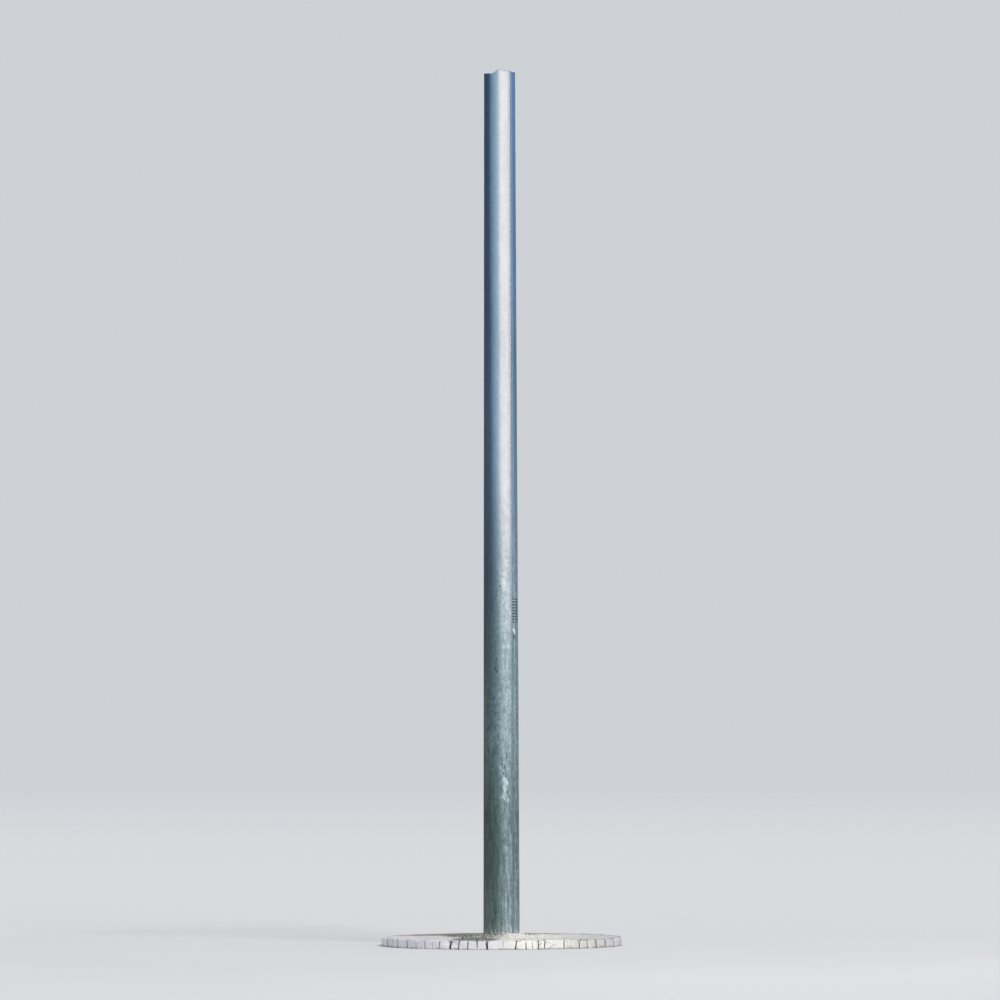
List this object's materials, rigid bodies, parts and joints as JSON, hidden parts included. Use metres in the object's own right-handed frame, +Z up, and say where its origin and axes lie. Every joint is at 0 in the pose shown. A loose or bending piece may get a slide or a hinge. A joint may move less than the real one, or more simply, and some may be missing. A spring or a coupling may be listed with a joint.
{
  "type": "galvanized steel pole",
  "caption": "Tapered galvanized steel pole with a lengthwise seam weld and an uneven open top, grouted into a round cast concrete footing with a cracked edge.",
  "frame": {"origin": "on the pole's axis at ground level, on the footing's underside", "axes": "+Z up along the pole; -Y is the front, which the picture shows; the seam weld is 39 degrees from the front towards +X"},
  "size_m": [1.3999, 1.3997, 5.0679],
  "materials": {
    "galvanized_steel": "hot-dip galvanized, weathered to a mottled satin grey",
    "galvanized_weld": "rippled weld bead under the same zinc coat",
    "zinc": "bright smooth zinc",
    "mortar": "coarse trowelled cement mortar, crumbling",
    "concrete": "pale weathered cast concrete with cracks and dirt"
  },
  "bodies": {
    "root": {"pole_shell": "galvanized_steel", "seam_weld": "galvanized_weld", "mended_patch": "galvanized_weld", "zinc_run": "zinc", "mortar_collar": "mortar", "footing_slab": "concrete"}
  },
  "joints": []
}
